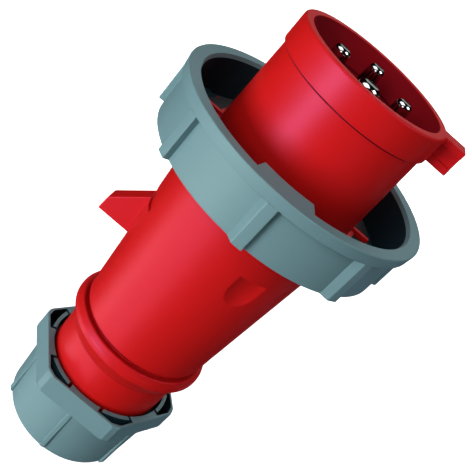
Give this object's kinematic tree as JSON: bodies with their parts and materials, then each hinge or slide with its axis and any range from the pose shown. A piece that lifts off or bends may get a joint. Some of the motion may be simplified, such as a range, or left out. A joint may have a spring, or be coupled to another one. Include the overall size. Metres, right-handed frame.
{
  "type": "industrial power plug",
  "caption": "Red industrial pin and sleeve plug with a keyed round shroud, a grey ribbed bayonet locking ring, a tapered grip with a catch and a hexagonal cable gland nut.",
  "frame": {"origin": "centre of the gland nut's flat rear face, on the plug's axis", "axes": "+Z along the axis towards the mouth, +X at the key of the shroud, -X at the cover catch, -Y at the earth pin"},
  "size_m": [0.0964, 0.0964, 0.182],
  "materials": {
    "red_plastic": "satin moulded",
    "grey_plastic": "satin moulded",
    "black_plastic": "matt moulded",
    "rubber": "matt",
    "plated_brass": "bright nickel plate",
    "steel": "zinc plate"
  },
  "bodies": {
    "plug_body": {"clamp_cage": "black_plastic", "seal_bush": "rubber", "seal_insert": "rubber", "handle_shell": "red_plastic", "front_shroud": "red_plastic", "shroud_seal": "rubber", "housing_seal": "rubber", "line_pin_1": "plated_brass", "line_pin_2": "plated_brass", "line_pin_3": "plated_brass", "earth_pin": "plated_brass", "line_terminal_screws": "steel", "earth_terminal_screws": "steel", "contact_carrier": "black_plastic", "retainer_plate": "black_plastic", "retainer_screws": "steel", "carrier_screws": "steel"},
    "bayonet_ring": {"locking_ring": "grey_plastic"},
    "thrust_ring": {"pressure_ring": "grey_plastic"},
    "nut": {"gland_nut": "grey_plastic"}
  },
  "joints": [
    {"name": "ring_turn", "type": "hinge", "parent": "plug_body", "child": "bayonet_ring", "pos_m": [0, 0, 0.1393], "axis": [0, 0, 1], "range_deg": [0, 45]},
    {"name": "gland_slide", "type": "slide", "parent": "plug_body", "child": "thrust_ring", "axis": [0, 0, -1], "range_m": [0, 0.004]},
    {"name": "gland_turn", "type": "hinge", "parent": "thrust_ring", "child": "nut", "pos_m": [0, 0, 0], "axis": [0, 0, -1], "range_deg": [0, 720]}
  ],
  "couplings": [
    {"joint": "gland_slide", "follows": "gland_turn", "m_per_rad": 0.000318}
  ]
}
